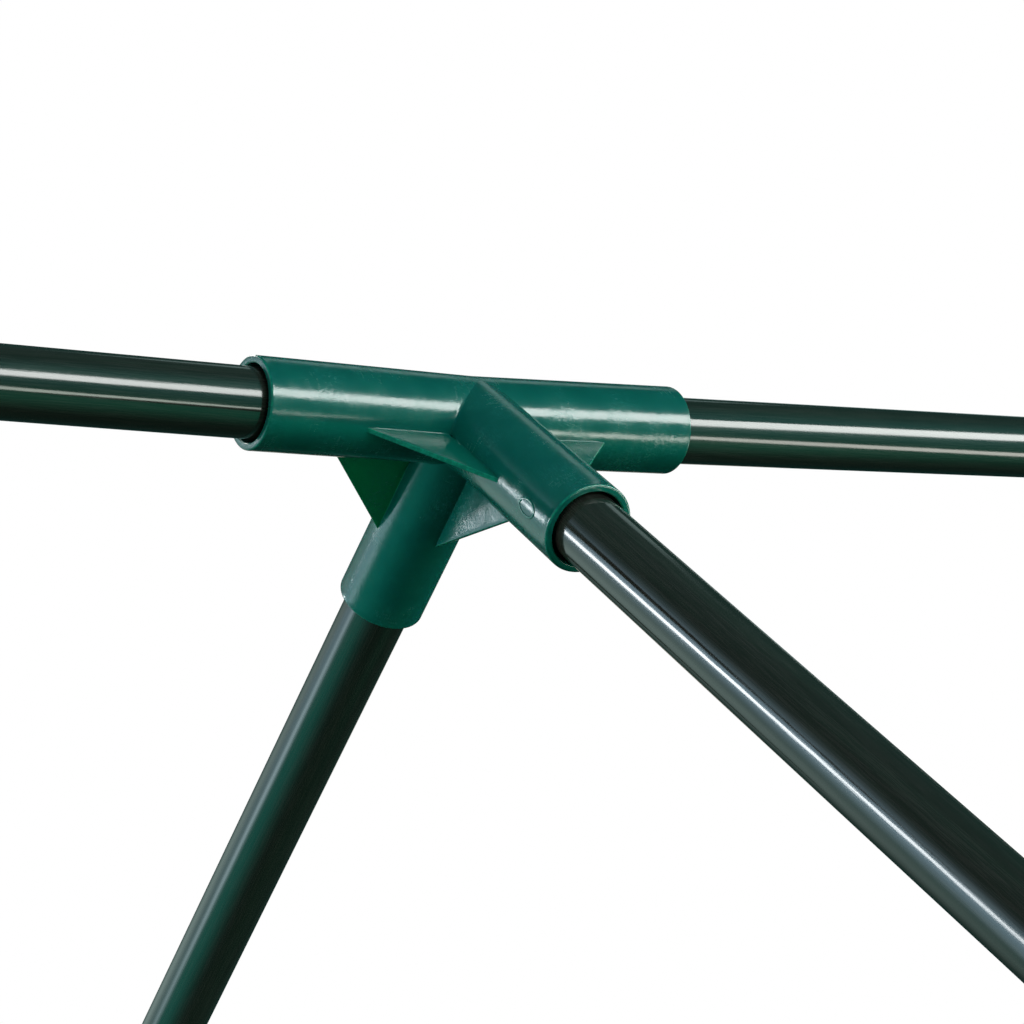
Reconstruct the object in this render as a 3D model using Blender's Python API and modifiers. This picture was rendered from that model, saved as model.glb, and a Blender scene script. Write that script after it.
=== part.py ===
"""Four-way push-fit joint of a garden tube frame: a moulded connector and the four tubes it holds.

Metres, +Z up. The axes of the four sockets cross at the origin. +X follows the ridge to the
right, +Y points to the back rafter, and both rafters run down from the joint.
"""

import math

import bmesh
import bpy
from mathutils import Matrix, Vector

# The frame's angles
APEX_ANGLE = math.radians(105.5)  # between the two rafters
RIDGE_RISE = math.radians(0.9)  # each ridge socket rises this much outwards, as camber

# The tubes
TUBE_RADIUS = 0.008
TUBE_WALL = 0.0008
TUBE_LENGTH = 0.250

# The sockets, measured along their axes from the crossing
MOUTH_DISTANCE = 0.056
STOP_DISTANCE = 0.014
MOUTH_CLEARANCE = 0.00075  # between the tube and the bore, at the mouth
STOP_CLEARANCE = 0.00035  # the same at the bottom, because the bore tapers
MOUTH_WALL = 0.00175  # the socket's plastic, outside the bore at the mouth
ROOT_WALL = 0.00193  # and outside the bore at the bottom
MOUTH_RADIUS = TUBE_RADIUS + MOUTH_CLEARANCE + MOUTH_WALL
ROOT_RADIUS = TUBE_RADIUS + STOP_CLEARANCE + ROOT_WALL
SEAT_GAP = 0.0003  # between the tube's end and the stop
MOUTH_ROUNDING = 0.0006
LEAD_IN = 0.0003
CORE_CLEARANCE = 0.0002  # the hollow behind the stop is this much smaller than the tube's inside
CORE_OVERLAP = 0.002  # the hollows run this far past the crossing, into one another
RAFTER_SHY = 0.0001  # keeps the rafter sockets' upper ends inside the ridge sockets' skin
RIDGE_OVERLAP = 0.001  # the ridge sockets run this far past the crossing
RAFTER_OVERLAP = 0.0004  # the same for the rafter sockets

# The gussets: flat triangular webs between neighbouring sockets
GUSSET_THICKNESS = 0.0011
GUSSET_ON_RIDGE = 0.0315
GUSSET_ON_RAFTER = 0.0333
APEX_GUSSET_ON_RAFTER = 0.0295

# Fineness
TURN_STEPS = 48
ROUNDING_STEPS = 3
CUT_PAST = 0.004

GREEN_PLASTIC = (0.004, 0.105, 0.078, 1.0)
DARK_GREEN_COAT = (0.006, 0.012, 0.009, 1.0)


def ridge_direction(side):
    """The way out of a ridge socket: side is -1 on the left and +1 on the right."""
    return Vector((side * math.cos(RIDGE_RISE), 0.0, math.sin(RIDGE_RISE)))


def rafter_direction(side):
    """The way out of a rafter socket: side is -1 at the front and +1 at the back."""
    return Vector((0.0, side * math.sin(APEX_ANGLE / 2), -math.cos(APEX_ANGLE / 2)))


ARMS = {
    "ridge_left": ridge_direction(-1),
    "ridge_right": ridge_direction(1),
    "rafter_front": rafter_direction(-1),
    "rafter_back": rafter_direction(1),
}

# Each gusset's two arms and its reach along each of them
GUSSETS = {
    "left_front": ("ridge_left", GUSSET_ON_RIDGE, "rafter_front", GUSSET_ON_RAFTER),
    "right_front": ("ridge_right", GUSSET_ON_RIDGE, "rafter_front", GUSSET_ON_RAFTER),
    "left_back": ("ridge_left", GUSSET_ON_RIDGE, "rafter_back", GUSSET_ON_RAFTER),
    "right_back": ("ridge_right", GUSSET_ON_RIDGE, "rafter_back", GUSSET_ON_RAFTER),
    "apex": ("rafter_front", APEX_GUSSET_ON_RAFTER, "rafter_back", APEX_GUSSET_ON_RAFTER),
}


def clear_scene():
    for obj in list(bpy.data.objects):
        bpy.data.objects.remove(obj, do_unlink=True)


def new_collection(name):
    collection = bpy.data.collections.new(name)
    bpy.context.scene.collection.children.link(collection)
    return collection


def make_material(name, color, roughness):
    material = bpy.data.materials.new(name)
    material.use_nodes = True
    shader = material.node_tree.nodes["Principled BSDF"]
    shader.inputs["Base Color"].default_value = color
    shader.inputs["Roughness"].default_value = roughness
    shader.inputs["Metallic"].default_value = 0.0
    return material


def arm_matrix(arm, distance=0.0):
    """Turns local +Z to the arm's direction and moves the origin out along it."""
    outward = ARMS[arm]
    across = Vector((0.0, 1.0, 0.0)) if arm.startswith("ridge") else Vector((1.0, 0.0, 0.0))
    third = outward.cross(across)
    turn = Matrix((across, third, outward)).transposed().to_4x4()
    return Matrix.Translation(outward * distance) @ turn


def turned(name, profile, closed, collection):
    """A profile of (radius, height) points, top to bottom on the outside, turned about local Z."""
    mesh = bpy.data.meshes.new(name)
    points = [(radius, 0.0, height) for radius, height in profile]
    edges = [(i, i + 1) for i in range(len(points) - 1)]
    if closed:
        edges.append((len(points) - 1, 0))
    mesh.from_pydata(points, edges, [])
    obj = bpy.data.objects.new(name, mesh)
    collection.objects.link(obj)
    screw = obj.modifiers.new("turn", "SCREW")
    screw.steps = TURN_STEPS
    screw.render_steps = TURN_STEPS
    screw.use_merge_vertices = True
    screw.merge_threshold = 0.000001
    screw.use_smooth_shade = False
    return obj


def radius_at(distance):
    """The sockets' outer radius, which widens evenly from the crossing to the mouth."""
    share = distance / MOUTH_DISTANCE
    return ROOT_RADIUS + (MOUTH_RADIUS - ROOT_RADIUS) * share


def socket_blank(arm, collection):
    """The outside of one socket as a solid, with the mouth's outer edge rounded."""
    start = -RIDGE_OVERLAP if arm.startswith("ridge") else -RAFTER_OVERLAP
    root = ROOT_RADIUS if arm.startswith("ridge") else ROOT_RADIUS - RAFTER_SHY
    profile = [(0.0, MOUTH_DISTANCE)]
    for step in range(ROUNDING_STEPS + 1):
        angle = math.pi / 2 * (1 - step / ROUNDING_STEPS)
        radius = MOUTH_RADIUS - MOUTH_ROUNDING * (1 - math.cos(angle))
        height = MOUTH_DISTANCE - MOUTH_ROUNDING * (1 - math.sin(angle))
        profile.append((radius, height))
    profile += [(root, start), (0.0, start)]
    blank = turned(f"{arm}_blank", profile, False, collection)
    blank.matrix_world = arm_matrix(arm)
    return blank


def bore_cutter(arm, collection):
    """The stepped hollow of one socket: lead-in, tapered bore, stop shoulder and core."""
    mouth = TUBE_RADIUS + MOUTH_CLEARANCE
    bottom = TUBE_RADIUS + STOP_CLEARANCE
    core = TUBE_RADIUS - TUBE_WALL - CORE_CLEARANCE
    profile = [
        (0.0, MOUTH_DISTANCE + CUT_PAST),
        (mouth + LEAD_IN, MOUTH_DISTANCE + CUT_PAST),
        (mouth + LEAD_IN, MOUTH_DISTANCE),
        (mouth, MOUTH_DISTANCE - LEAD_IN),
        (bottom, STOP_DISTANCE),
        (core, STOP_DISTANCE),
        (core, -CORE_OVERLAP),
        (0.0, -CORE_OVERLAP),
    ]
    cutter = turned(f"{arm}_bore", profile, False, collection)
    cutter.matrix_world = arm_matrix(arm)
    return cutter


def gusset_blank(name, collection):
    """A flat web in the plane of its two arms, from the crossing to a straight free edge."""
    first_arm, first_reach, second_arm, second_reach = GUSSETS[name]
    first = ARMS[first_arm]
    normal = first.cross(ARMS[second_arm]).normalized()
    beside = normal.cross(first)
    second = Vector((ARMS[second_arm].dot(first), ARMS[second_arm].dot(beside)))
    inward = Vector((second.y, -second.x))
    outline = [
        Vector((0.0, 0.0)),
        Vector((first_reach, 0.0)),
        Vector((first_reach, radius_at(first_reach))),
        second * second_reach + inward * radius_at(second_reach),
        second * second_reach,
    ]
    curve = bpy.data.curves.new(f"gusset_{name}", "CURVE")
    curve.dimensions = "2D"
    curve.fill_mode = "BOTH"
    curve.extrude = GUSSET_THICKNESS / 2
    spline = curve.splines.new("POLY")
    spline.points.add(len(outline) - 1)
    for point, place in zip(spline.points, outline):
        point.co = (place.x, place.y, 0.0, 1.0)
    spline.use_cyclic_u = True
    guide = bpy.data.objects.new(f"gusset_{name}_outline", curve)
    collection.objects.link(guide)
    guide.matrix_world = Matrix((first, beside, normal)).transposed().to_4x4()
    return made_mesh(guide, f"gusset_{name}", collection)


def made_mesh(guide, name, collection):
    """The mesh of a curve object, with its caps welded on, in the curve's place."""
    bpy.context.view_layer.update()
    graph = bpy.context.evaluated_depsgraph_get()
    mesh = bpy.data.meshes.new_from_object(guide.evaluated_get(graph))
    welded = bmesh.new()
    welded.from_mesh(mesh)
    bmesh.ops.remove_doubles(welded, verts=welded.verts, dist=0.000001)
    bmesh.ops.recalc_face_normals(welded, faces=welded.faces)
    welded.to_mesh(mesh)
    welded.free()
    obj = bpy.data.objects.new(name, mesh)
    obj.matrix_world = guide.matrix_world.copy()
    collection.objects.link(obj)
    bpy.data.objects.remove(guide, do_unlink=True)
    return obj


def hide_helper(obj):
    obj.hide_render = True
    obj.display_type = "WIRE"


def shade_round(obj):
    """Smooth shading that keeps the sharp edges."""
    obj.data.shade_smooth()
    obj.data.set_sharp_from_angle(angle=math.radians(30))


def add_boolean(obj, operation, other):
    """One step of the moulding. EXACT loses the second rafter socket, whose edges cross the first's."""
    modifier = obj.modifiers.new(other.name, "BOOLEAN")
    modifier.operation = operation
    modifier.solver = "MANIFOLD"
    modifier.object = other


def make_connector(parts, helpers):
    """Four sockets and five gussets in one moulding, with its stepped hollows cut last."""
    blanks = [socket_blank(arm, helpers) for arm in ARMS]
    webs = [gusset_blank(name, helpers) for name in GUSSETS]
    bores = [bore_cutter(arm, helpers) for arm in ARMS]
    connector = blanks[0]
    connector.name = "connector"
    helpers.objects.unlink(connector)
    parts.objects.link(connector)
    for other in blanks[1:] + webs:
        add_boolean(connector, "UNION", other)
        hide_helper(other)
    for cutter in bores:
        add_boolean(connector, "DIFFERENCE", cutter)
        hide_helper(cutter)
    shade_round(connector)
    connector.data.materials.append(make_material("green_moulded_plastic", GREEN_PLASTIC, 0.32))
    return connector


def make_tube(arm, collection, material):
    """A plain round tube, seated just off its stop, with its origin at the seated end."""
    inside = TUBE_RADIUS - TUBE_WALL
    profile = [
        (TUBE_RADIUS, TUBE_LENGTH),
        (TUBE_RADIUS, 0.0),
        (inside, 0.0),
        (inside, TUBE_LENGTH),
    ]
    kind, side = arm.split("_")
    tube = turned(f"{kind}_tube_{side}", profile, True, collection)
    tube.matrix_world = arm_matrix(arm, STOP_DISTANCE + SEAT_GAP)
    shade_round(tube)
    tube.data.materials.append(material)
    return tube


def main():
    clear_scene()
    parts = new_collection("four_way_tube_joint")
    helpers = new_collection("joint_cutters")
    make_connector(parts, helpers)
    coat = make_material("dark_green_coated_steel", DARK_GREEN_COAT, 0.12)
    for arm in ARMS:
        make_tube(arm, parts, coat)


main()
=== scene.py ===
"""Looks of a four-way push-fit joint of a garden tube frame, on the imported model's frame.

Metres, +Z up. The axes of the four sockets cross at the origin. +X follows the ridge to the
right, +Y points to the back rafter, and both rafters run down from the joint.
"""

import logging
import math
from dataclasses import dataclass, field
from enum import Enum
from functools import reduce
from typing import Dict, List, Tuple

import bmesh
import bpy
import numpy as np
from mathutils import Matrix, Vector


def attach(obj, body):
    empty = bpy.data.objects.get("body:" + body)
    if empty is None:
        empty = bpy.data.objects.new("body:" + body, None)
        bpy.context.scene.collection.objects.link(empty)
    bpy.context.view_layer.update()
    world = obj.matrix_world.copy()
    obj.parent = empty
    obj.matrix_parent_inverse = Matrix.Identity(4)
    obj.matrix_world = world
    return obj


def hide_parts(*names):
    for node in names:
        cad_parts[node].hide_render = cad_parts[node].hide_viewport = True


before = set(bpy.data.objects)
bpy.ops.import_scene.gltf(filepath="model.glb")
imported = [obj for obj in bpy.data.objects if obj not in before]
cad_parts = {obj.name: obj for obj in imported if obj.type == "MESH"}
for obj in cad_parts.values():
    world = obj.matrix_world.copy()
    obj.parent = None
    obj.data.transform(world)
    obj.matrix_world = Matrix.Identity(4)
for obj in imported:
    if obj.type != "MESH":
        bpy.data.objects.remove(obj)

LOG = logging.getLogger("tube_joint")
Colour = Tuple[float, float, float, float]
Span = Tuple[float, float]

APEX_ANGLE = math.radians(105.5)  # between the two rafters
RIDGE_RISE = math.radians(0.9)  # each ridge arm rises this much outwards
UNIT: Span = (0.0, 1.0)
TINY = 1e-9
WELD_DISTANCE = 1e-7
PATTERN_STEP = 0.4  # from one arm's pattern to the next one's
BUMP_DISTANCE = 0.0001


class Arm(Enum):
    """The four arms of the joint, by the first part of their CAD names."""

    RIDGE_LEFT = "ridge_left"
    RIDGE_RIGHT = "ridge_right"
    RAFTER_FRONT = "rafter_front"
    RAFTER_BACK = "rafter_back"

    @property
    def tube(self) -> str:
        """The name of this arm's tube, and of the body it rides on."""
        kind, side = self.value.split("_")
        return f"{kind}_tube_{side}"

    @property
    def outward(self) -> np.ndarray:
        """The unit vector out along this arm.

        Returns:
            The vector, whose lean comes from the frame's two angles.
        """
        half, rise = APEX_ANGLE / 2, RIDGE_RISE
        return {
            Arm.RIDGE_LEFT: np.array((-math.cos(rise), 0.0, math.sin(rise))),
            Arm.RIDGE_RIGHT: np.array((math.cos(rise), 0.0, math.sin(rise))),
            Arm.RAFTER_FRONT: np.array((0.0, -math.sin(half), -math.cos(half))),
            Arm.RAFTER_BACK: np.array((0.0, math.sin(half), -math.cos(half))),
        }[self]

    @property
    def shift(self) -> float:
        """How far this arm's pattern is moved on, so that no two arms look alike."""
        return PATTERN_STEP * list(Arm).index(self)

    @property
    def basis(self) -> Tuple[np.ndarray, np.ndarray]:
        """Two unit vectors square to the arm.

        Returns:
            The one as near straight up as it can be, and the one across the arm.
        """
        outward = self.outward
        upward = np.array((0.0, 0.0, 1.0)) - outward[2] * outward
        upward /= np.linalg.norm(upward)
        return upward, np.cross(outward, upward)


class Mask(Enum):
    """Point attributes that the materials read."""

    ALONG = "along"  # place in the arm's own directions: up, across and out, moved on for each arm
    EDGE = "edge"  # 1 on edges that take worn nicks and, on the moulding, a painted glow of light; 0 elsewhere
    OTHER = "other"  # 1 where the steel has no coat; on the moulding's webs, how much painted glow of light through the thin plastic they take


@dataclass
class Surface:
    """A closed surface: its points, its quads, and what the materials read at each point."""

    points: np.ndarray
    quads: np.ndarray
    along: np.ndarray
    edge: np.ndarray
    other: np.ndarray

    @classmethod
    def from_grid(
        cls,
        grid: np.ndarray,
        edge: np.ndarray,
        other: np.ndarray,
        along: np.ndarray,
        around: bool = True,
    ) -> "Surface":
        """Makes a surface from a grid of points whose rows always run round to the first again.

        Args:
            grid: points by row and column.
            edge: the edge mask by row and column.
            other: the mask of bare steel, or of the painted glow of light through thin plastic, by row and
                column.
            along: the points in the arm's own directions.
            around: whether the columns run round to the first again too.

        Returns:
            The surface, with its quads facing outwards.
        """
        rows, columns = grid.shape[:2]
        across = np.arange(columns if around else columns - 1)
        row, column = np.meshgrid(np.arange(rows), across, indexing="ij")
        below, beside = (row + 1) % rows, (column + 1) % columns
        corners = (
            row * columns + column,
            below * columns + column,
            below * columns + beside,
            row * columns + beside,
        )
        quads = np.stack(corners, axis=-1).reshape(-1, 4)
        points = grid.reshape(-1, 3)
        if signed_volume(points, quads) < 0:
            quads = quads[:, ::-1]
        return cls(points, quads, along.reshape(-1, 3), edge.reshape(-1), other.reshape(-1))

    def joined(self, other: "Surface") -> "Surface":
        """This surface and another one as one."""
        return Surface(
            np.concatenate((self.points, other.points)),
            np.concatenate((self.quads, other.quads + len(self.points))),
            np.concatenate((self.along, other.along)),
            np.concatenate((self.edge, other.edge)),
            np.concatenate((self.other, other.other)),
        )

    def as_object(self, name: str, material: bpy.types.Material) -> bpy.types.Object:
        """Puts the surface into the scene.

        Args:
            name: the piece's name.
            material: its finish.

        Returns:
            The piece, at the origin, unturned and unscaled.
        """
        mesh = bpy.data.meshes.new(name)
        mesh.from_pydata(self.points.tolist(), [], self.quads.tolist())
        for mask, values, kind, key in (
            (Mask.ALONG, self.along, "FLOAT_VECTOR", "vector"),
            (Mask.EDGE, self.edge, "FLOAT", "value"),
            (Mask.OTHER, self.other, "FLOAT", "value"),
        ):
            attribute = mesh.attributes.new(mask.value, kind, "POINT")
            attribute.data.foreach_set(key, np.ascontiguousarray(values, dtype=np.float32).ravel())
        welded = bmesh.new()
        welded.from_mesh(mesh)
        bmesh.ops.remove_doubles(welded, verts=welded.verts, dist=WELD_DISTANCE)
        welded.to_mesh(mesh)
        welded.free()
        mesh.shade_smooth()
        mesh.materials.append(material)
        piece = bpy.data.objects.new(name, mesh)
        bpy.context.scene.collection.objects.link(piece)
        return piece


def signed_volume(points: np.ndarray, quads: np.ndarray) -> float:
    """The volume inside a closed surface, below zero if its quads face inwards.

    Each quad is split into two triangles, and each triangle adds a sixth of its corners' triple
    product.

    Args:
        points: the surface's points.
        quads: each quad's four points, by number.

    Returns:
        The volume in cubic metres.
    """
    a, b, c, d = (points[quads[:, corner]] for corner in range(4))
    first = np.einsum("ij,ij->i", a, np.cross(b, c))
    second = np.einsum("ij,ij->i", a, np.cross(c, d))
    return float((first + second).sum() / 6.0)


def rounded(corners: List[Tuple[float, float, float]], steps: int) -> np.ndarray:
    """A polyline whose corners are turned into arcs.

    Each corner gives way to a quadratic arc between the points one radius before and after it on
    its two sides, so the line leaves and joins both sides smoothly.

    Args:
        corners: distance along the arm, radius and rounding of each corner, in order.
        steps: how many pieces each arc has.

    Returns:
        The points, one row of distance and radius each.
    """
    line: List[np.ndarray] = []
    for index, (distance, radius, rounding) in enumerate(corners):
        here = np.array((distance, radius))
        if rounding <= 0.0 or index in (0, len(corners) - 1):
            line.append(here[None])
            continue
        before, after = (np.array(corners[index + step][:2]) - here for step in (-1, 1))
        start = here + before / np.linalg.norm(before) * rounding
        end = here + after / np.linalg.norm(after) * rounding
        share = np.linspace(0.0, 1.0, steps + 1)[:, None]
        line.append((1 - share) ** 2 * start + 2 * share * (1 - share) * here + share**2 * end)
    return np.concatenate(line)


def aimed(azimuth: float, elevation: float) -> Tuple[float, float, float]:
    """The unit vector at an azimuth, clockwise from +Y, and an elevation, both in degrees."""
    turn, lift = math.radians(azimuth), math.radians(elevation)
    return (math.sin(turn) * math.cos(lift), math.cos(turn) * math.cos(lift), math.sin(lift))


def smooth_step(values: np.ndarray, low: float, high: float) -> np.ndarray:
    """0 below low, 1 above high, and an even S between them."""
    share = np.clip((values - low) / (high - low), 0.0, 1.0)
    return share * share * (3.0 - 2.0 * share)


class Graph:
    """A node tree being filled, left to right."""

    def __init__(self, tree: bpy.types.NodeTree) -> None:
        """Starts with an empty tree."""
        self.tree = tree
        self.tree.nodes.clear()

    def add(self, kind: str, inputs: Dict[object, object] = None, **settings: object) -> bpy.types.Node:
        """Adds a node.

        Args:
            kind: the node's type name.
            inputs: by socket name or number, a plain value or another node's output.
            settings: the node's own settings.

        Returns:
            The node.
        """
        node = self.tree.nodes.new(kind)
        node.location = (220.0 * len(self.tree.nodes), 0.0)
        for name, value in settings.items():
            setattr(node, name, value)
        for name, value in (inputs or {}).items():
            if isinstance(value, bpy.types.NodeSocket):
                self.tree.links.new(value, node.inputs[name])
            else:
                node.inputs[name].default_value = value
        return node

    def math(self, operation: str, first: object, second: object = 0.0) -> bpy.types.NodeSocket:
        """One sum on two values, each a number or an output."""
        return self.add("ShaderNodeMath", {0: first, 1: second}, operation=operation).outputs[0]

    def noise(self, vector: bpy.types.NodeSocket, scale: object, detail: float) -> bpy.types.NodeSocket:
        """Noise from 0 to 1, centred on a half."""
        inputs = {"Vector": vector, "Scale": scale, "Detail": detail}
        return self.add("ShaderNodeTexNoise", inputs).outputs["Fac"]

    def ramp(self, value: bpy.types.NodeSocket, source: Span, target: Span) -> bpy.types.NodeSocket:
        """A value carried smoothly from one span to another and held at its ends.

        Args:
            value: the value.
            source: where it comes from.
            target: where it goes.

        Returns:
            The carried value.
        """
        inputs = {
            "Value": value,
            "From Min": source[0],
            "From Max": source[1],
            "To Min": target[0],
            "To Max": target[1],
        }
        return self.add("ShaderNodeMapRange", inputs, interpolation_type="SMOOTHSTEP").outputs["Result"]

    def mix(self, share: bpy.types.NodeSocket, first: object, second: object) -> bpy.types.NodeSocket:
        """Two colours mixed by a mask.

        Args:
            share: the mask, whose 1 is the second colour.
            first: one colour.
            second: the other colour.

        Returns:
            The mixed colour.
        """
        node = self.add("ShaderNodeMix", data_type="RGBA")
        colour_inputs = [socket for socket in node.inputs if socket.type == "RGBA"]
        for socket, value in zip((node.inputs[0], *colour_inputs), (share, first, second)):
            if isinstance(value, bpy.types.NodeSocket):
                self.tree.links.new(value, socket)
            else:
                socket.default_value = value
        return next(socket for socket in node.outputs if socket.type == "RGBA")

    def mask(self, mask: Mask) -> bpy.types.Node:
        """Reads one of the piece's own attributes."""
        return self.add("ShaderNodeAttribute", attribute_name=mask.value)


@dataclass(frozen=True)
class SurfaceLife:
    """The shared effect: mottling, scuffs, worn edges, which the plastic also lightens as a painted glow,
    and the grain that bumps the surface.

    The scales of the patches, scratches, nicks and waves are multiples of the mottle's scale.
    """

    name: str = "surface_life"
    patch_scale: float = 0.75
    patch_span: Span = (0.42, 0.66)
    scratches: Tuple[Span, ...] = ((0.16, 42.0), (-0.30, 31.0))  # slant in radians, and scale
    scratch_stretch: Tuple[float, float, float] = (1.0, 1.0, 16.0)
    scratch_span: Span = (0.50, 0.80)
    rub_span: Span = (0.35, 0.75)
    rub_share: float = 0.45
    nick_scale: float = 9.0
    nick_span: Span = (0.42, 0.62)
    nick_worn: Span = (0.35, 1.0)
    wave_scale: float = 1.4
    patch_roughening: float = 1.3
    plain_roughening: float = 0.6

    def group(self) -> bpy.types.NodeTree:
        """The node group.

        Returns:
            The group, which is built the first time it is asked for.
        """
        known = bpy.data.node_groups.get(self.name)
        if known:
            return known
        tree = bpy.data.node_groups.new(self.name, "ShaderNodeTree")
        self.sockets(tree)
        graph = Graph(tree)
        given = graph.add("NodeGroupInput").outputs
        place, wave = given["Place"], given["Mottle Scale"]

        def finer(times: float, detail: float) -> bpy.types.NodeSocket:
            """Noise so many times finer than the mottle."""
            return graph.noise(place, graph.math("MULTIPLY", wave, times), detail)

        mottle = graph.noise(place, wave, 3.0)
        grain = graph.noise(place, given["Grain Scale"], 3.0)
        patch = graph.ramp(finer(self.patch_scale, 2.0), self.patch_span, UNIT)
        rubbed = graph.math("MULTIPLY", graph.ramp(grain, self.rub_span, UNIT), self.rub_share)
        rubbed = graph.math("ADD", rubbed, self.scratched(graph, place, wave))
        scuff = graph.math("MULTIPLY", graph.math("MULTIPLY", rubbed, patch), given["Scuff Amount"])
        nicks = graph.ramp(finer(self.nick_scale, 2.0), self.nick_span, self.nick_worn)
        wear = graph.math("MULTIPLY", nicks, given["Edge"])
        height = graph.math("MULTIPLY", finer(self.wave_scale, 1.0), given["Wave Height"])
        roughening = graph.math("MULTIPLY", patch, self.patch_roughening)
        roughening = graph.math("ADD", roughening, self.plain_roughening)
        rough_grain = graph.math("MULTIPLY", grain, roughening)
        rough_grain = graph.math("MULTIPLY", rough_grain, given["Grain Height"])
        height = graph.math("ADD", height, rough_grain)
        graph.add("NodeGroupOutput", {"Mottle": mottle, "Scuff": scuff, "Wear": wear, "Height": height})
        return tree

    def sockets(self, tree: bpy.types.NodeTree) -> None:
        """Names the group's inputs and outputs."""
        tree.interface.new_socket(name="Place", in_out="INPUT", socket_type="NodeSocketVector")
        for name, value in (
            ("Edge", 0.0),
            ("Mottle Scale", 100.0),
            ("Grain Scale", 2000.0),
            ("Scuff Amount", 0.5),
            ("Wave Height", 0.5),
            ("Grain Height", 0.1),
        ):
            made = tree.interface.new_socket(name=name, in_out="INPUT", socket_type="NodeSocketFloat")
            made.default_value = value
        for name in ("Mottle", "Scuff", "Wear", "Height"):
            tree.interface.new_socket(name=name, in_out="OUTPUT", socket_type="NodeSocketFloat")

    def scratched(
        self, graph: Graph, place: bpy.types.NodeSocket, wave: bpy.types.NodeSocket
    ) -> bpy.types.NodeSocket:
        """Fine scratches along the arm, in two sets that cross.

        Args:
            graph: the group's nodes.
            place: where the pattern is read.
            wave: the mottle's scale.

        Returns:
            A mask, 1 on the scratches.
        """
        masks = []
        for slant, scale in self.scratches:
            inputs = {"Vector": place, "Rotation": (0.0, slant, 0.0), "Scale": self.scratch_stretch}
            turned = graph.add("ShaderNodeMapping", inputs, vector_type="TEXTURE").outputs["Vector"]
            lines = graph.noise(turned, graph.math("MULTIPLY", wave, scale), 1.0)
            masks.append(graph.ramp(lines, self.scratch_span, UNIT))
        return graph.math("MAXIMUM", *masks)

    def placed(
        self, graph: Graph, place: bpy.types.NodeSocket, values: Dict[str, float]
    ) -> Tuple[bpy.types.NodeSocket, ...]:
        """Places the effect in a material.

        Args:
            graph: the material's nodes.
            place: where the pattern is read.
            values: this material's value for each named input.

        Returns:
            The mottle, the scuffs, the wear and the height.
        """
        inputs = {"Place": place, "Edge": graph.mask(Mask.EDGE).outputs["Fac"], **values}
        life = graph.add("ShaderNodeGroup", inputs, node_tree=self.group())
        return tuple(life.outputs[name] for name in ("Mottle", "Scuff", "Wear", "Height"))


@dataclass(frozen=True)
class MouldedPlastic:
    """Satin green moulded plastic with light scuffs, and painted light: a lighter green glow on the webs,
    as if lit through the thin plastic, and on worn, nicked edges.
    """

    name: str = "green_moulded_plastic"
    green: Colour = (0.002, 0.118, 0.096, 1.0)
    deep_green: Colour = (0.001, 0.094, 0.080, 1.0)
    # worn nicks on edges, which also stand for a painted glow of light through the thin edges
    edge_wear_and_glow_green: Colour = (0.006, 0.25, 0.17, 1.0)
    # painted glow: the yellower green of light coming through a thin web
    painted_glow_green: Colour = (0.001, 0.30, 0.105, 1.0)
    scuffed: Colour = (0.010, 0.165, 0.142, 1.0)
    cloud_span: Span = (0.2, 0.8)
    polish: Span = (0.14, 0.20)
    scuff_roughness: float = 0.14
    index: float = 1.5
    glow_through: float = 0.25
    glow_depth: float = 0.0016
    glow_reach: Tuple[float, float, float] = (0.2, 1.0, 0.5)
    tool_lines: Tuple[float, float, float] = (0.22, 0.22, 1.0)
    tool_scale: float = 1300.0
    tool_span: Span = (0.42, 0.66)
    tool_roughness: Span = (0.0, 0.08)
    tool_patches: Span = (0.40, 0.60)
    tool_shown: Span = (0.15, 1.0)
    mottle_scale: float = 110.0
    grain_scale: float = 900.0
    scuff_amount: float = 0.65
    wave_height: float = 0.45
    grain_height: float = 0.38

    def material(self) -> bpy.types.Material:
        """Builds the material.

        Returns:
            The plastic, with faint tool lines round each arm.
        """
        material = bpy.data.materials.new(self.name)
        material.use_nodes = True
        graph = Graph(material.node_tree)
        place = graph.mask(Mask.ALONG).outputs["Vector"]
        values = {
            "Mottle Scale": self.mottle_scale,
            "Grain Scale": self.grain_scale,
            "Scuff Amount": self.scuff_amount,
            "Wave Height": self.wave_height,
            "Grain Height": self.grain_height,
        }
        mottle, scuff, wear, height = SurfaceLife().placed(graph, place, values)
        cloud = graph.ramp(mottle, self.cloud_span, UNIT)
        colour = graph.mix(cloud, self.deep_green, self.green)
        # Painted glow: the webs turn a lighter, yellower green, as if lit through the thin plastic.
        thin = graph.mask(Mask.OTHER).outputs["Fac"]
        colour = graph.mix(thin, colour, self.painted_glow_green)
        # Nicked edges lighter green: partly wear, partly a painted glow of light through thin plastic.
        colour = graph.mix(wear, colour, self.edge_wear_and_glow_green)
        colour = graph.mix(scuff, colour, self.scuffed)
        rough = graph.ramp(mottle, self.cloud_span, self.polish)
        rough = graph.math("ADD", rough, graph.math("MULTIPLY", scuff, self.scuff_roughness))
        drawn = graph.add("ShaderNodeMapping", {"Vector": place, "Scale": self.tool_lines})
        lines = graph.noise(drawn.outputs["Vector"], self.tool_scale, 2.0)
        lines = graph.ramp(lines, self.tool_span, self.tool_roughness)
        lines = graph.math("MULTIPLY", lines, graph.ramp(mottle, self.tool_patches, self.tool_shown))
        rough = graph.math("ADD", rough, lines)
        bump = graph.add("ShaderNodeBump", {"Strength": 1.0, "Distance": BUMP_DISTANCE, "Height": height})
        shader = graph.add(
            "ShaderNodeBsdfPrincipled",
            {
                "Base Color": colour,
                "Roughness": rough,
                "Normal": bump.outputs["Normal"],
                "IOR": self.index,
                "Subsurface Weight": self.glow_through,
                "Subsurface Scale": self.glow_depth,
                "Subsurface Radius": self.glow_reach,
            },
        )
        graph.add("ShaderNodeOutputMaterial", {"Surface": shader.outputs["BSDF"]})
        return material


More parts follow.
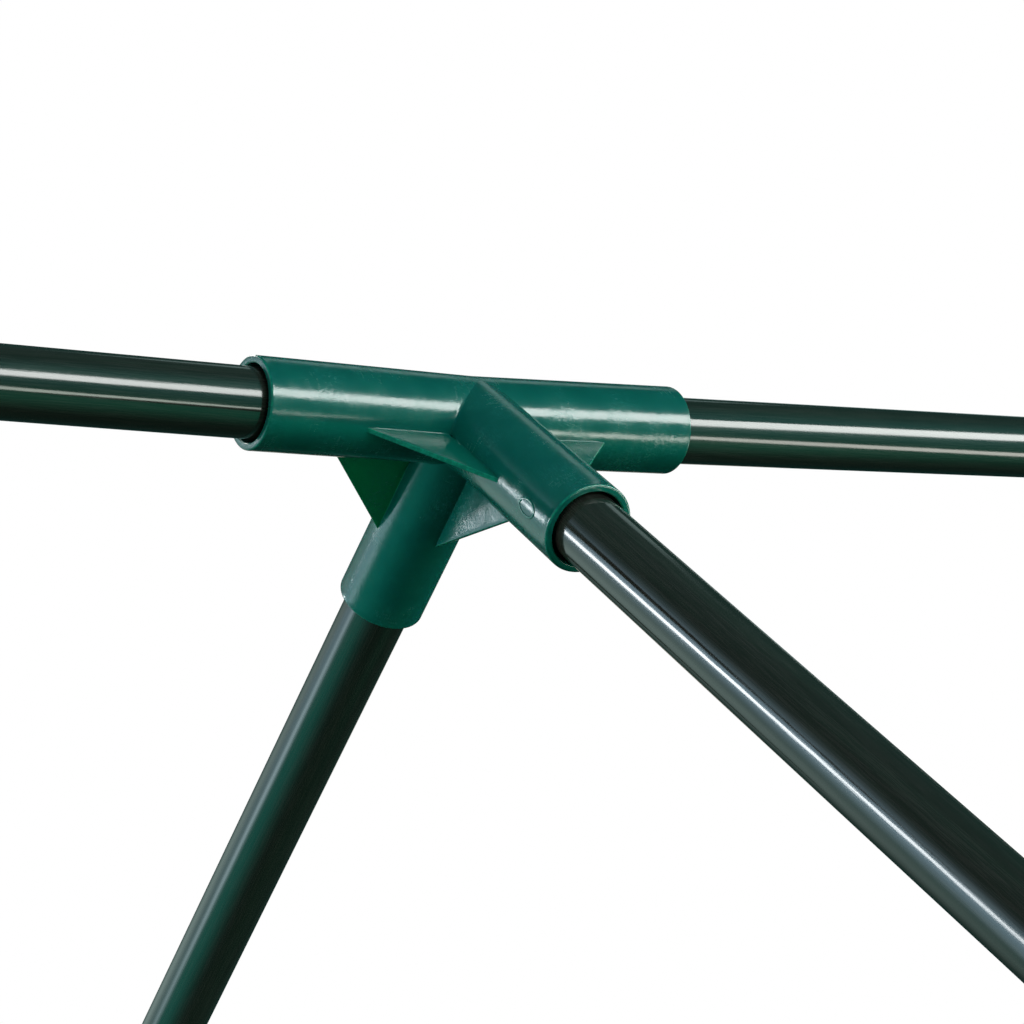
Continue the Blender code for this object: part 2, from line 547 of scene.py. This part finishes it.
@dataclass(frozen=True)
class CoatedSteel:
    """Glossy near-black green coat drawn along the tube, over steel that shows where it is cut."""

    name: str = "dark_green_coated_steel"
    coat: Colour = (0.0072, 0.0106, 0.0070, 1.0)
    pale_coat: Colour = (0.0095, 0.0170, 0.0115, 1.0)
    scuffed: Colour = (0.05, 0.06, 0.055, 1.0)
    steel: Colour = (0.42, 0.43, 0.44, 1.0)
    cloud_span: Span = (0.4, 0.62)
    gloss_span: Span = (0.35, 0.65)
    gloss: Span = (0.09, 0.15)
    worn_through: float = 0.8
    steel_roughness: float = 0.38
    index: float = 1.52
    draw: Tuple[float, float, float] = (1.0, 1.0, 0.03)
    mottle_scale: float = 420.0
    grain_scale: float = 3200.0
    scuff_amount: float = 0.25
    wave_height: float = 0.05
    grain_height: float = 0.045

    def material(self) -> bpy.types.Material:
        """Builds the material.

        Returns:
            The coat, with bare steel where the tube is cut and where its ends are worn.
        """
        material = bpy.data.materials.new(self.name)
        material.use_nodes = True
        graph = Graph(material.node_tree)
        along = graph.mask(Mask.ALONG).outputs["Vector"]
        drawn = graph.add("ShaderNodeMapping", {"Vector": along, "Scale": self.draw}).outputs["Vector"]
        values = {
            "Mottle Scale": self.mottle_scale,
            "Grain Scale": self.grain_scale,
            "Scuff Amount": self.scuff_amount,
            "Wave Height": self.wave_height,
            "Grain Height": self.grain_height,
        }
        mottle, scuff, wear, height = SurfaceLife().placed(graph, drawn, values)
        cloud = graph.ramp(mottle, self.cloud_span, UNIT)
        colour = graph.mix(cloud, self.coat, self.pale_coat)
        colour = graph.mix(scuff, colour, self.scuffed)
        bare = graph.mask(Mask.OTHER).outputs["Fac"]
        shown = graph.math("MAXIMUM", bare, graph.math("MULTIPLY", wear, self.worn_through))
        colour = graph.mix(shown, colour, self.steel)
        rough = graph.ramp(mottle, self.gloss_span, self.gloss)
        rough = graph.math("ADD", rough, graph.math("MULTIPLY", shown, self.steel_roughness))
        bump = graph.add("ShaderNodeBump", {"Strength": 1.0, "Distance": BUMP_DISTANCE, "Height": height})
        shader = graph.add(
            "ShaderNodeBsdfPrincipled",
            {
                "Base Color": colour,
                "Metallic": shown,
                "Roughness": rough,
                "Normal": bump.outputs["Normal"],
                "IOR": self.index,
            },
        )
        graph.add("ShaderNodeOutputMaterial", {"Surface": shader.outputs["BSDF"]})
        return material


@dataclass
class SocketConnector:
    """The moulding: four mitred socket sleeves, five gusset webs and a small plain raised ring."""

    finish: MouldedPlastic = field(default_factory=MouldedPlastic)
    mouth_distance: float = 0.056
    stop_distance: float = 0.014
    mouth_radius: float = 0.0105
    root_radius: float = 0.01028
    mouth_bore: float = 0.00875
    stop_bore: float = 0.00835
    core_radius: float = 0.0070
    mouth_rounding: float = 0.0006
    lead_in: float = 0.0003
    mouth_land: float = 0.004  # where the bore's taper begins, from the mouth
    mouth_land_taper: float = 0.00004
    stop_ledge: float = 0.0015
    stop_rounding: float = 0.0002
    crease_fillet: float = 0.0005
    crease_turn: Span = (0.12, 0.7)  # from no crease to a full one, as one less a cosine
    crease_rows: int = 14
    crease_depth: float = 0.0018
    row_crowding: float = 1.3
    mitre_overlap: float = 0.00010
    core_overlap: float = 0.00005
    past_crossing: float = 0.0005
    gusset_thickness: float = 0.0011
    gusset_fillet: float = 0.0002
    gusset_edge: float = 0.00022
    gusset_start: float = 0.00005  # the first chord's distance from where the sleeves meet
    gusset_sunk: float = 0.0005
    gusset_crowding: float = 1.4
    # Painted glow of light through the thin plastic, per web: far more on the back webs than on the front
    # ones, though all are equally thick.
    front_web_painted_glow: float = 0.10
    back_web_painted_glow: float = 0.8
    ridge_reach: float = 0.0315
    rafter_reach: float = 0.0333
    apex_reach: float = 0.0295
    columns: int = 176
    outer_rows: int = 56
    ring_place: float = 0.0465
    ring_size: Tuple[float, float] = (0.0031, 0.0018)
    ring_width: float = 0.00034
    ring_height: float = 0.00016
    ring_flatness: float = 1.6

    def radius_at(self, distance: np.ndarray) -> np.ndarray:
        """The sleeves' outer radius, which widens evenly from the crossing to the mouth."""
        share = np.asarray(distance) / self.mouth_distance
        return self.root_radius + (self.mouth_radius - self.root_radius) * share

    def nearest_sleeve(
        self, arm: Arm, points: np.ndarray, normals: np.ndarray
    ) -> Tuple[np.ndarray, np.ndarray]:
        """How far points are from the other sleeves.

        For each other arm, the gap is the distance from its axis less its outer radius there, and
        the turn is one less the cosine between the two surfaces' normals.

        Args:
            arm: the arm the points belong to.
            points: places on its sleeve.
            normals: its sleeve's normals there.

        Returns:
            The least gap, and the turn towards that sleeve.
        """
        gaps, turns = [], []
        for other in Arm:
            if other is arm:
                continue
            distance = points @ other.outward
            across = points - distance[..., None] * other.outward
            reach = np.linalg.norm(across, axis=-1)
            ahead = distance > -self.past_crossing
            gaps.append(np.where(ahead, reach - self.radius_at(distance), 1.0))
            turns.append(1.0 - (normals * across).sum(-1) / np.maximum(reach, TINY))
        nearest = np.stack(gaps).argmin(axis=0)[None]
        gap, turn = (np.take_along_axis(np.stack(values), nearest, 0)[0] for values in (gaps, turns))
        return gap, turn

    def mitre(self, arm: Arm, normals: np.ndarray, radius: np.ndarray) -> np.ndarray:
        """Where a sleeve begins, so that two sleeves meet on the plane halfway between their arms.

        A point at distance s and radius r is nearer to its own arm than to another where s is
        more than r times the normal's part along the other arm, over one less the cosine between
        the arms. The sleeve begins at the largest of these.

        Args:
            arm: the sleeve's arm.
            normals: the sleeve's normals, by column.
            radius: its radius, by column.

        Returns:
            The distance where each column begins.
        """
        starts = [
            radius * (normals @ other.outward) / (1.0 - float(arm.outward @ other.outward))
            for other in Arm
            if other is not arm
        ]
        return np.stack(starts).max(axis=0)

    def fillet(self, gap: np.ndarray, turn: np.ndarray) -> np.ndarray:
        """How far a sleeve stands proud in the fillet that joins it to the next sleeve.

        The fillet is a circle that touches both surfaces. It fades away where the two surfaces
        face the same way, because there is no crease there.

        Args:
            gap: the distance to the next sleeve.
            turn: how far the next sleeve's surface is turned from this one.

        Returns:
            The height above the sleeve.
        """
        radius = self.crease_fillet * smooth_step(turn, *self.crease_turn)
        inside = np.clip(radius - gap, 0.0, radius)
        return radius - np.sqrt(np.maximum(radius**2 - inside**2, 0.0))

    def inner_outline(self) -> np.ndarray:
        """The outline from the mouth's outer rounding to just past the stop.

        Returns:
            The points, one row of distance and radius each.
        """
        mouth, stop, lead = self.mouth_distance, self.stop_distance, self.lead_in
        return rounded(
            [
                (mouth - self.mouth_rounding, self.mouth_radius, 0.0),
                (mouth, self.mouth_radius, self.mouth_rounding * 0.98),
                (mouth, self.mouth_bore + lead, 0.3 * lead),
                (mouth - lead, self.mouth_bore, lead / 3.0),
                (mouth - self.mouth_land, self.mouth_bore - self.mouth_land_taper, 0.001),
                (stop, self.stop_bore, self.stop_rounding),
                (stop, self.core_radius, self.stop_rounding),
                (stop - self.stop_ledge, self.core_radius, 0.0),
            ],
            5,
        )[1:]

    def sleeve(self, arm: Arm) -> Surface:
        """One socket as a closed sleeve.

        Its rows follow the outside from the mitre to the mouth, round the rim, and go back down
        the tapered bore, past the stop and along the hollow to the mitre again. Its columns go
        round the arm. A point is distance times the arm's direction plus radius times the normal,
        and the normal is cos times up plus sin times across.

        Args:
            arm: the sleeve's arm.

        Returns:
            The sleeve.
        """
        angle = np.linspace(0.0, 2.0 * math.pi, self.columns, endpoint=False)
        upward, across = arm.basis
        normals = np.cos(angle)[:, None] * upward + np.sin(angle)[:, None] * across
        start = self.mitre(arm, normals, np.full(self.columns, self.root_radius))
        trial = start[:, None] * arm.outward + self.root_radius * normals
        turn = self.nearest_sleeve(arm, trial, normals)[1]
        proud = self.crease_fillet * smooth_step(turn, *self.crease_turn) * (1.0 - math.sqrt(0.5))
        start = self.mitre(arm, normals, self.root_radius + proud) - self.mitre_overlap

        ones = np.ones(self.columns)
        rounding_start = self.mouth_distance - self.mouth_rounding
        close = np.linspace(0.0, self.crease_depth, self.crease_rows, endpoint=False)[:, None] * ones
        share = np.linspace(0.0, 1.0, self.outer_rows - self.crease_rows)[:, None] ** self.row_crowding
        far = self.crease_depth + share * (rounding_start - start - self.crease_depth)
        distance = start + np.concatenate((close, far))
        radius = self.radius_at(distance)
        for _ in range(2):
            places = distance[..., None] * arm.outward + radius[..., None] * normals
            gap, turn = self.nearest_sleeve(arm, places, np.broadcast_to(normals, places.shape))
            radius = self.radius_at(distance) + self.fillet(gap, turn)

        outline = self.inner_outline()
        inner = self.mitre(arm, normals, self.core_radius * ones) - self.core_overlap
        back = np.linspace(0.0, 1.0, 6)[1:, None]
        core = (self.stop_distance - self.stop_ledge) * (1 - back) + inner * back

        distance = np.concatenate((distance, outline[:, :1] * ones, core))
        radius = np.concatenate((radius, outline[:, 1:] * ones, np.full(core.shape, self.core_radius)))
        grid = distance[..., None] * arm.outward + radius[..., None] * normals
        own = (radius * np.cos(angle), radius * np.sin(angle), distance + arm.shift)
        along = np.stack(own, axis=-1)
        edge = self.rim_wear_and_glow(distance, radius)
        return Surface.from_grid(grid, edge, np.zeros(edge.shape), along)

    def rim_wear_and_glow(self, distance: np.ndarray, radius: np.ndarray) -> np.ndarray:
        """The edge mask of a mouth, for worn nicks and, on the plastic, a painted glow: a bell curve over
        the radius at each of the rim's two corners.

        Args:
            distance: the points' distances along the arm.
            radius: their radii.

        Returns:
            The mask.
        """
        rim = smooth_step(distance, self.mouth_distance - 0.0005, self.mouth_distance - 0.0001)
        corners = ((self.mouth_radius, 0.00022), (self.mouth_bore + self.lead_in, 0.00016))
        bells = [np.exp(-(((radius - corner + 0.0001) / width) ** 2)) for corner, width in corners]
        return rim * np.maximum(*bells)

    def gusset(
        self, first: Arm, first_reach: float, second: Arm, second_reach: float, clear: float = 0.0
    ) -> Surface:
        """One gusset web as a closed slab between two sleeves.

        Its rows are chords between the two sleeves, each chord's ends the same share of the reach
        along both arms. They go out on one face, round the free edge and back on the other face.
        Its columns go along the chord, from inside one sleeve to inside the other. Half its
        thickness grows near a sleeve by a quarter circle, which is the fillet.

        Args:
            first: one arm it joins.
            first_reach: how far it reaches along that arm.
            second: the other arm.
            second_reach: how far it reaches along that one.
            clear: how much painted glow the web takes, a lighter green as if lit through the thin plastic,
                from 0 to 1.

        Returns:
            The slab.
        """
        normal = np.cross(first.outward, second.outward)
        normal /= np.linalg.norm(normal)
        to_second = np.cross(normal, first.outward)
        to_first = np.cross(second.outward, normal)

        cosine = float(first.outward @ second.outward)
        corner = self.root_radius * math.sqrt((1.0 + cosine) / (1.0 - cosine))
        begin = (corner + self.gusset_start) / max(first_reach, second_reach)
        share = begin + (1.0 - begin) * np.linspace(0.0, 1.0, 16) ** self.gusset_crowding
        turn = np.linspace(0.0, math.pi / 2, 5)
        inset = self.gusset_edge * (1.0 - np.sin(turn))
        drop = self.gusset_edge * (1.0 - np.cos(turn))

        def line(shares: np.ndarray, arm: Arm, reach: float, inward: np.ndarray) -> np.ndarray:
            """Points on a sleeve's side, at shares of its reach."""
            distance = shares * reach
            return distance[:, None] * arm.outward + self.radius_at(distance)[:, None] * inward

        ones = np.ones(len(turn))
        shares = np.concatenate((share[:-1], ones))
        insets = np.concatenate((np.zeros(len(share) - 1), inset))
        drops = np.concatenate((np.zeros(len(share) - 1), drop))
        start = line(shares, first, first_reach, to_second)
        end = line(shares, second, second_reach, to_first)
        chord = end - start
        length = np.maximum(np.linalg.norm(chord, axis=1), TINY)
        chord /= length[:, None]
        outward = np.cross(chord, normal)
        outward *= np.sign(outward @ (first.outward + second.outward))[:, None]
        first_sine = np.abs(np.cross(chord, first.outward) @ normal)
        second_sine = np.abs(np.cross(chord, second.outward) @ normal)
        radius = np.minimum(self.gusset_fillet, 0.45 * length * np.minimum(first_sine, second_sine))

        arc = np.linspace(0.0, math.pi / 2, 6)
        off = np.concatenate(([0.0], 1.0 - np.cos(arc)))
        rise = np.concatenate(([1.0], 1.0 - np.sin(arc)))
        half = self.gusset_thickness / 2
        rises = radius[:, None] * rise
        sunk = np.concatenate(([self.gusset_sunk], np.zeros(len(arc))))
        near = radius[:, None] * off - sunk - (half + rises) ** 2 / (2 * self.root_radius) * (off < 0.5)
        middle = np.linspace(0.0, 1.0, 10)[1:-1]
        left = near / first_sine[:, None]
        right = length[:, None] - near[:, ::-1] / second_sine[:, None]
        between = left[:, -1:] + (right[:, :1] - left[:, -1:]) * middle
        position = np.concatenate((left, between, right), axis=1)
        thick = half + np.concatenate((rises, np.zeros(between.shape), rises[:, ::-1]), axis=1)
        thick = thick - drops[:, None]
        position = np.concatenate((position[:, :1], position, position[:, -1:]), axis=1)
        thick = np.concatenate((thick[:, :1] * 0.0, thick, thick[:, -1:] * 0.0), axis=1)

        flat = start[:, None] + position[..., None] * chord[:, None]
        flat = flat - insets[:, None, None] * outward[:, None]
        top = flat + thick[..., None] * normal
        bottom = (flat - thick[..., None] * normal)[::-1]
        grid = np.concatenate((top, bottom))
        reached = np.concatenate((shares, shares[::-1]))[:, None]
        inset_all = np.concatenate((insets, insets[::-1]))[:, None]
        # The free edge takes worn nicks and a painted glow.
        edge = smooth_step(reached, 0.985, 0.999) * (1.0 - smooth_step(inset_all, 0.0001, self.gusset_edge))
        edge = edge * np.ones(grid.shape[:2])
        # Painted glow of light through the web: on its plain thin part, fading out in the fillets.
        thin = 1.0 - smooth_step(thick, half + 0.02 * self.gusset_fillet, half + 0.9 * self.gusset_fillet)
        thin = clear * np.concatenate((thin, thin[::-1]))
        return Surface.from_grid(grid, edge, thin, grid, around=False)

    def raised_ring(self, arm: Arm) -> Surface:
        """A small plain oval ring raised on the side of a sleeve.

        Its columns go round the oval and its rows round a low rounded section, which is bent to
        the sleeve's own curve.

        Args:
            arm: the sleeve's arm.

        Returns:
            The ring.
        """
        turn = np.linspace(0.0, 2.0 * math.pi, 72, endpoint=False)
        section = np.linspace(0.0, 2.0 * math.pi, 12, endpoint=False)[:, None]
        long, short = self.ring_size
        swell = self.ring_width * np.cos(section)
        outward = self.ring_place + (long + swell) * np.cos(turn)
        sideways = (short + swell) * np.sin(turn)
        section_height = np.clip(np.sin(section) * self.ring_flatness, -1.0, 1.0)
        height = self.ring_height * section_height * np.ones(len(turn))
        radius = self.radius_at(outward) + height
        upward, across = arm.basis
        side = 1.0 if across[0] < 0 else -1.0
        angle = side * math.pi / 2 + sideways / self.mouth_radius
        normals = np.cos(angle)[..., None] * upward + np.sin(angle)[..., None] * across
        grid = outward[..., None] * arm.outward + radius[..., None] * normals
        edge = smooth_step(height, 0.3 * self.ring_height, self.ring_height) * 0.5
        return Surface.from_grid(grid, edge, np.zeros(edge.shape), grid)

    def build(self) -> List[bpy.types.Object]:
        """Builds and dresses the connector.

        Returns:
            The one piece that stands for the CAD connector.
        """
        front, back = Arm.RAFTER_FRONT, Arm.RAFTER_BACK
        surfaces = [self.sleeve(arm) for arm in Arm]
        for ridge in (Arm.RIDGE_LEFT, Arm.RIDGE_RIGHT):
            # Each web takes its own share of painted glow.
            for rafter, clear in ((front, self.front_web_painted_glow), (back, self.back_web_painted_glow)):
                surfaces.append(self.gusset(ridge, self.ridge_reach, rafter, self.rafter_reach, clear))
        surfaces.append(self.gusset(front, self.apex_reach, back, self.apex_reach))
        surfaces.append(self.raised_ring(front))
        whole = reduce(Surface.joined, surfaces)
        piece = whole.as_object("moulded_connector", self.finish.material())
        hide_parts("connector")
        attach(piece, "connector")
        return [piece]


@dataclass
class CoatedTubes:
    """The four tubes, each with rounded cut ends and a low weld seam inside."""

    finish: CoatedSteel = field(default_factory=CoatedSteel)
    radius: float = 0.008
    wall: float = 0.0008
    seat: float = 0.0143
    length: float = 0.250
    cut_rounding: float = 0.00016
    coat: float = 0.00012
    seam_height: float = 0.00022
    seam_width: float = 0.0011
    end_stretch: float = 0.0006
    worn_end: float = 0.0007
    worn_depth: float = 0.0002
    wear: float = 0.6
    columns: int = 120

    def surface(self, arm: Arm) -> Surface:
        """One tube as a closed sleeve.

        Its rows go out along the outside, round the cut end, back along the inside and round the
        seated end. The inside radius is less along a low seam, by a bell curve round the tube.

        Args:
            arm: the tube's arm.

        Returns:
            The tube.
        """
        start, end, inside = self.seat, self.seat + self.length, self.radius - self.wall
        step = self.end_stretch
        outline = rounded(
            [
                (start + step, self.radius, 0.0),
                (end - step, self.radius, 0.0),
                (end, self.radius, self.cut_rounding),
                (end, inside, self.cut_rounding),
                (end - step, inside, 0.0),
                (start + step, inside, 0.0),
                (start, inside, self.cut_rounding),
                (start, self.radius, self.cut_rounding),
                (start + step * 0.999, self.radius, 0.0),
            ],
            4,
        )[:-1]
        angle = np.linspace(0.0, 2.0 * math.pi, self.columns, endpoint=False)
        upward, across = arm.basis
        normals = np.cos(angle)[:, None] * upward + np.sin(angle)[:, None] * across
        ones = np.ones(self.columns)
        distance, radius = outline[:, :1] * ones, outline[:, 1:] * ones
        beside = (np.mod(angle, 2.0 * math.pi) - math.pi) * inside
        seam = self.seam_height * np.exp(-((beside / self.seam_width) ** 2))
        radius = radius - seam * (radius < inside + 0.00001)
        grid = distance[..., None] * arm.outward + radius[..., None] * normals
        own = (radius * np.cos(angle), radius * np.sin(angle), distance + arm.shift)
        along = np.stack(own, axis=-1)
        bare = (radius < self.radius - self.coat).astype(float)
        near_end = np.minimum(end - distance, distance - start)
        outside = radius > self.radius - self.worn_depth
        edge = (1.0 - smooth_step(near_end, 0.0, self.worn_end)) * outside * self.wear
        return Surface.from_grid(grid, edge, bare, along)

    def build(self) -> List[bpy.types.Object]:
        """Builds and dresses the tubes.

        Returns:
            One piece for each tube.
        """
        material = self.finish.material()
        pieces = []
        for arm in Arm:
            piece = self.surface(arm).as_object(f"coated_{arm.tube}", material)
            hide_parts(arm.tube)
            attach(piece, arm.tube)
            pieces.append(piece)
        return pieces


class Reach(Enum):
    """What a light acts on: the object's gloss or its plain colour."""

    GLOSS = "gloss"
    COLOUR = "colour"


@dataclass(frozen=True)
class LightPanel:
    """A flat soft light, aimed at the joint. Directions and spans are in degrees."""

    name: str
    azimuth: float
    elevation: float
    width: float
    height: float
    brightness: float
    colour: Tuple[float, float, float] = (1.0, 1.0, 1.0)
    reach: Reach = Reach.GLOSS
    distance: float = 2.6

    def build(self) -> bpy.types.Object:
        """Puts the light into the scene.

        Returns:
            The light, which the camera doesn't see.
        """
        towards = Vector(aimed(self.azimuth, self.elevation))
        lamp = bpy.data.lights.new(self.name, "AREA")
        lamp.shape = "RECTANGLE"
        lamp.size = 2.0 * self.distance * math.tan(math.radians(self.width / 2))
        lamp.size_y = 2.0 * self.distance * math.tan(math.radians(self.height / 2))
        lamp.energy = self.brightness * math.pi * lamp.size * lamp.size_y
        lamp.color = self.colour
        light = bpy.data.objects.new(self.name, lamp)
        light.location = towards * self.distance
        light.rotation_euler = (-towards).to_track_quat("-Z", "Y").to_euler()
        light.visible_camera = False
        light.visible_glossy = self.reach is Reach.GLOSS
        light.visible_diffuse = self.reach is Reach.COLOUR
        bpy.context.scene.collection.objects.link(light)
        return light


@dataclass(frozen=True)
class Glow:
    """A soft bright patch of the room, by its direction in degrees, how tight it is, and its light."""

    azimuth: float
    elevation: float
    tightness: float
    colour: Tuple[float, float, float]


@dataclass
class Studio:
    """The studio: soft panels, a dim room that the object's gloss sees, and a plain floor."""

    panels: Tuple[LightPanel, ...] = (
        LightPanel("key_strip", 140.0, 14.0, 84.0, 17.0, 14.0, (1.0, 1.0, 0.98)),
        LightPanel("low_strip", 120.0, -28.0, 38.0, 7.5, 8.0, (1.0, 0.95, 0.88)),
        LightPanel("low_strip_left", 152.0, -30.0, 26.0, 7.0, 7.0, (0.95, 1.0, 0.90)),
        LightPanel("back_strip", -49.5, 12.5, 28.0, 4.6, 17.5, (0.96, 0.99, 1.0)),
        LightPanel("side_strip", 46.0, 20.0, 12.0, 14.0, 0.32, (0.75, 1.0, 0.97)),
        LightPanel("web_strip", 49.5, 48.0, 14.0, 12.0, 0.6, (0.75, 1.0, 0.97)),
        LightPanel("rear_strip", -4.0, 39.0, 40.0, 10.0, 12.0),
        LightPanel("rear_low_strip", 33.0, 1.0, 14.0, 8.0, 0.5, (1.0, 0.92, 0.80)),
        LightPanel("front_fill", 163.0, 24.0, 50.0, 28.0, 4.2, (1.0, 1.0, 1.05), Reach.COLOUR),
        LightPanel("low_front_fill", 165.0, -14.0, 60.0, 20.0, 2.4, (1.0, 1.0, 0.68), Reach.COLOUR),
        LightPanel("right_fill", 93.0, -4.0, 44.0, 28.0, 3.8, (1.0, 1.0, 0.85), Reach.COLOUR),
        LightPanel("left_fill", -88.0, 6.0, 44.0, 30.0, 3.6, (1.3, 1.0, 1.0), Reach.COLOUR),
        LightPanel("low_back_fill", -35.0, -30.0, 40.0, 30.0, 1.2, (0.9, 1.0, 0.7), Reach.COLOUR),
        LightPanel("back_fill", 28.0, 22.0, 50.0, 30.0, 5.0, (1.0, 1.0, 1.0), Reach.COLOUR),
        LightPanel("top_fill", 30.0, 84.0, 60.0, 40.0, 0.4, (1.0, 1.0, 1.0), Reach.COLOUR),
    )
    glows: Tuple[Glow, ...] = (
        Glow(142.0, 14.0, 6.0, (0.10, 0.85, 0.75)),
        Glow(138.0, -42.0, 10.0, (0.0, 0.60, 0.34)),
        Glow(-50.0, 14.0, 25.0, (2.1, 3.1, 3.8)),
        Glow(-46.0, -9.0, 120.0, (2.6, 3.2, 3.5)),
        Glow(-14.0, 2.0, 20.0, (0.80, 1.05, 1.0)),
        Glow(-60.0, -30.0, 8.0, (0.04, 0.90, 0.70)),
        Glow(-80.0, 75.0, 3.0, (0.02, 0.10, 0.09)),
    )
    dim: Tuple[float, float, float] = (0.004, 0.035, 0.03)
    ambient: Colour = (0.03, 0.03, 0.03, 1.0)
    floor_height: float = -0.194  # just below the rafter tubes when they are pulled out
    floor_half: float = 1.2
    floor_fade: Span = (0.35, 1.0)
    floor_colour: Colour = (0.80, 0.80, 0.79, 1.0)
    floor_roughness: float = 0.9
    floor_gloss: float = 0.1
    floor_glow: float = 0.45

    def room(self) -> None:
        """Pure white behind the object, and for its gloss a dim room with soft bright patches.

        A patch's light falls off as e to the power of its tightness times the cosine of the angle
        from its middle less one.
        """
        world = bpy.data.worlds.new("room")
        world.use_nodes = True
        graph = Graph(world.node_tree)
        direction = graph.add("ShaderNodeTexCoord").outputs["Generated"]
        total: object = self.dim
        for glow in self.glows:
            inputs = {0: direction, 1: aimed(glow.azimuth, glow.elevation)}
            dot = graph.add("ShaderNodeVectorMath", inputs, operation="DOT_PRODUCT")
            fall = graph.math("SUBTRACT", dot.outputs["Value"], 1.0)
            share = graph.math("EXPONENT", graph.math("MULTIPLY", fall, glow.tightness))
            lit = graph.add("ShaderNodeVectorMath", {0: glow.colour, "Scale": share}, operation="SCALE")
            inputs = {0: total, 1: lit.outputs[0]}
            total = graph.add("ShaderNodeVectorMath", inputs, operation="ADD").outputs[0]
        path = graph.add("ShaderNodeLightPath")
        gloss = graph.add("ShaderNodeBackground", {"Color": total, "Strength": 1.0})
        plain = graph.add("ShaderNodeBackground", {"Color": self.ambient, "Strength": 1.0})
        white = graph.add("ShaderNodeBackground", {"Color": (1.0, 1.0, 1.0, 1.0), "Strength": 1.0})
        inputs = {0: path.outputs["Is Glossy Ray"], 1: plain.outputs[0], 2: gloss.outputs[0]}
        unseen = graph.add("ShaderNodeMixShader", inputs)
        inputs = {0: path.outputs["Is Camera Ray"], 1: unseen.outputs[0], 2: white.outputs[0]}
        both = graph.add("ShaderNodeMixShader", inputs)
        graph.add("ShaderNodeOutputWorld", {"Surface": both.outputs[0]})
        bpy.context.scene.world = world

    def floor(self) -> bpy.types.Object:
        """A plain pale floor, which fades out around the object and sends no light back up.

        Returns:
            The floor, which is not attached to any of the object's bodies.
        """
        half, height = self.floor_half, self.floor_height
        mesh = bpy.data.meshes.new("floor")
        sides = ((-half, -half), (half, -half), (half, half), (-half, half))
        corners = [(across, deep, height) for across, deep in sides]
        mesh.from_pydata(corners, [], [(0, 1, 2, 3)])
        material = bpy.data.materials.new("pale_floor")
        material.use_nodes = True
        graph = Graph(material.node_tree)
        place = graph.add("ShaderNodeTexCoord").outputs["Object"]
        away = graph.add("ShaderNodeVectorMath", {0: place}, operation="LENGTH").outputs["Value"]
        inputs = {
            "Value": away,
            "From Min": self.floor_fade[0],
            "From Max": self.floor_fade[1],
            "To Min": 1.0,
            "To Max": 0.0,
        }
        shown = graph.add("ShaderNodeMapRange", inputs, interpolation_type="SMOOTHSTEP").outputs["Result"]
        shader = graph.add(
            "ShaderNodeBsdfPrincipled",
            {
                "Base Color": self.floor_colour,
                "Roughness": self.floor_roughness,
                "Specular IOR Level": self.floor_gloss,
                "Emission Color": self.floor_colour,
                "Emission Strength": self.floor_glow,
                "Alpha": shown,
            },
        )
        graph.add("ShaderNodeOutputMaterial", {"Surface": shader.outputs[0]})
        mesh.materials.append(material)
        floor = bpy.data.objects.new("floor", mesh)
        bpy.context.scene.collection.objects.link(floor)
        floor.visible_diffuse = False
        floor.visible_glossy = False
        floor.visible_transmission = False
        floor.visible_shadow = False
        return floor

    def build(self) -> None:
        """Sets up the whole studio."""
        bpy.context.scene.view_settings.view_transform = "Standard"
        self.room()
        self.floor()
        for panel in self.panels:
            panel.build()


@dataclass
class Viewpoint:
    """The camera, low on the front left of the joint and looking slightly up at it."""

    place: Tuple[float, float, float] = (-0.3271, -0.5127, -0.1357)
    right: Tuple[float, float, float] = (0.8407, -0.5363, -0.0746)
    upward: Tuple[float, float, float] = (-0.0373, -0.1949, 0.9801)
    lens: float = 95.6
    sensor: float = 36.0
    clip_start: float = 0.01

    def build(self) -> bpy.types.Object:
        """Makes the camera and sets it as the scene's.

        Returns:
            The camera.
        """
        right = Vector(self.right).normalized()
        back = right.cross(Vector(self.upward)).normalized()
        upward = back.cross(right)
        camera_data = bpy.data.cameras.new("camera")
        camera_data.lens = self.lens
        camera_data.sensor_width = self.sensor
        camera_data.clip_start = self.clip_start
        camera = bpy.data.objects.new("camera", camera_data)
        turn = Matrix((right, upward, back)).transposed().to_4x4()
        camera.matrix_world = Matrix.Translation(Vector(self.place)) @ turn
        bpy.context.scene.collection.objects.link(camera)
        bpy.context.scene.camera = camera
        return camera


def main() -> None:
    """Builds the camera, the studio and the pieces, and reports each piece."""
    logging.basicConfig(level=logging.INFO, format="%(name)s: %(message)s")
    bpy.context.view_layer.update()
    Viewpoint().build()
    Studio().build()
    for part in (SocketConnector(), CoatedTubes()):
        for piece in part.build():
            LOG.info("%s: %d points", piece.name, len(piece.data.vertices))


if __name__ == "__main__":
    main()
